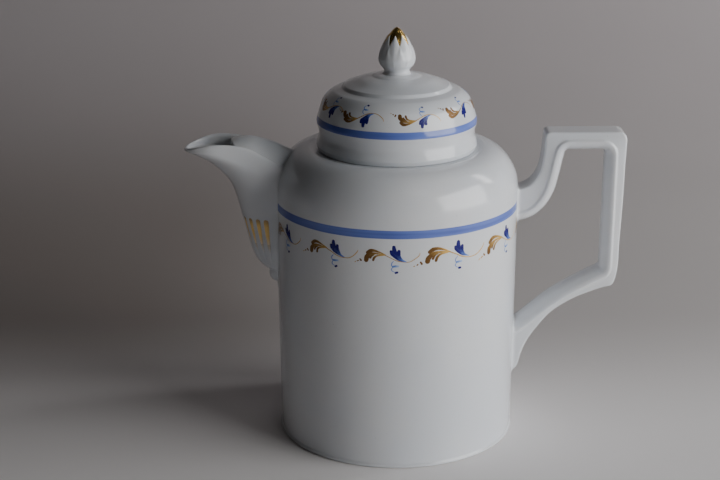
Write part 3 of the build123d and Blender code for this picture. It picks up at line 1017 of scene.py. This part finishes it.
# ---- setting ----
def make_floor():
    """A pale floor that sweeps up into a plain backdrop, with painted shade greying the floor behind the pot
    and toward -X.
    """
    # in metres: along the floor, round the bend and up the backdrop
    sweep = rounded_path([(-2.4, 0.0, 0), (1.05, 0.0, 0.7), (1.3, 2.2, 0)], 24)
    widths = np.linspace(-3.0, 3.0, 3)
    points = [(x, y, z) for y, z in sweep for x in widths]
    faces = grid_faces(len(sweep), len(widths))
    n = Nodes("floor_paper")
    grain = n.noise(6.0, 4.0)
    # painted shade: the paper is white in front and painted greyer behind the pot, darkest toward -X,
    # standing in for the window's light falling off and the pot's shadow; farther back the backdrop is a
    # middle grey
    near = n.mix(grain, rgb(240, 237, 237), rgb(245, 242, 242))
    painted_shade_left = n.mix(grain, rgb(146, 138, 134), rgb(150, 142, 138))
    right = n.mix(grain, rgb(198, 194, 193), rgb(203, 199, 198))
    far = n.mix(grain, rgb(188, 182, 183), rgb(194, 188, 189))
    x, y, _ = n.place_parts()
    middle = n.mix(n.step(x, -0.16, 0.08), painted_shade_left, right)
    paper = n.mix(n.step(y, -0.02, 0.16), near, middle)
    n.set(Base_Color=n.mix(n.step(y, 0.28, 0.8), paper, far), Roughness=0.62)
    n.bump(n.noise(300.0), 0.05, 0.0003)
    floor = add_mesh("floor", np.array(points) / MM, faces, [n.material])


def stand(name, data, right, up, back, place):
    """Adds a lamp or camera at a place, turned to the given directions."""
    thing = bpy.data.objects.new(name, data)
    bpy.context.scene.collection.objects.link(thing)
    rows = [[right[i], up[i], back[i], place[i]] for i in range(3)]
    thing.matrix_world = Matrix(rows + [[0, 0, 0, 1]])
    return thing


def area_light(name, place, target, size, power, colour):
    """A rectangular lamp at a place, facing a target."""
    light = bpy.data.lights.new(name, "AREA")
    light.shape = "RECTANGLE"
    light.size, light.size_y = size
    light.energy = power
    light.color = colour
    place, target = np.array(place, float), np.array(target, float)
    back = (place - target) / np.linalg.norm(place - target)
    right = np.cross((0, 0, 1), back)
    right /= np.linalg.norm(right)
    stand(name, light, right, np.cross(back, right), back, place)


def make_lights():
    """A wide window to the right, a dim lamp behind the camera and a wash on the backdrop."""
    pot = (0, 0, 0.1)
    backdrop = (0.35, 1.3, 0.5)
    # name, place, target, width and height in metres, watts, colour
    area_light("window", (1.08, -0.52, 0.39), pot, (1.1, 0.8), 15.6, (1.0, 1.0, 0.995))
    area_light("room_lamp", (0.52, -1.30, 1.60), pot, (0.5, 0.4), 0.75, (1.0, 0.97, 0.92))
    area_light("backdrop_wash", (1.0, 0.25, 0.75), backdrop, (0.4, 0.5), 4.6, (1.0, 0.99, 1.0))
    world = bpy.data.worlds.new("studio_air")
    world.use_nodes = True
    air = world.node_tree.nodes["Background"]
    air.inputs["Color"].default_value = (0.60, 0.58, 0.56, 1)
    air.inputs["Strength"].default_value = 0.012
    bpy.context.scene.world = world


def make_camera():
    """The camera stands a little to the spout's side and looks down at the pot."""
    yaw, pitch, roll = math.radians(0.675), math.radians(17.964), math.radians(-0.22)
    place = (-0.02736, -0.78341, 0.35134)
    ahead = np.array([math.sin(yaw), math.cos(yaw), 0])
    right = np.array([math.cos(yaw), -math.sin(yaw), 0])
    above = np.array([0, 0, 1])
    look = ahead * math.cos(pitch) - above * math.sin(pitch)
    up = above * math.cos(pitch) + ahead * math.sin(pitch)
    side = right * math.cos(roll) + up * math.sin(roll)
    up = up * math.cos(roll) - right * math.sin(roll)
    lens = bpy.data.cameras.new("camera")
    lens.sensor_width = 36.0   # both in millimetres
    lens.lens = 82.5
    camera = stand("camera", lens, side, up, -look, place)
    bpy.context.scene.camera = camera


make_camera()
make_body()
make_spout()
make_handle()
make_lid()
make_finial()
# the painter's hand is uneven. Each place: degrees from the front, height of the blue leaf's tip,
# size of the gold leaf, and how much lower it hangs
body_places = [
    (-94.0, 113.2, 1.0, 0.0), (-63.8, 113.7, 1.0, 0.3), (-31.6, 113.6, 1.05, 0.2), (-3.0, 113.2, 1.0, 0.2),
    (27.0, 113.5, 1.18, 1.0), (59.9, 113.6, 1.15, 1.2), (91.0, 113.2, 1.0, 0.0), (121.0, 113.4, 1.1, 0.4),
    (151.5, 113.0, 1.0, 0.2), (181.0, 113.3, 1.05, 0.6), (211.5, 113.1, 1.0, 0.0), (238.0, 113.3, 1.1, 0.3),
]
border("body_border", on_body, body_places, 1.0, False, "pot", 11)
lid_places = [
    (-60.5, 165.0, 1.0, 0.0), (-26.8, 164.0, 1.0, 0.0), (16.6, 163.8, 1.05, 0.0), (57.3, 165.0, 1.05, 0.3),
    (98.0, 164.2, 1.0, 0.0), (139.0, 164.0, 1.0, 0.2), (179.5, 164.3, 1.05, 0.0), (220.0, 164.0, 1.0, 0.1),
    (260.0, 164.2, 1.0, 0.0),
]
border("lid_border", on_lid, lid_places, 0.83, True, "lid", 12)
make_floor()
make_lights()
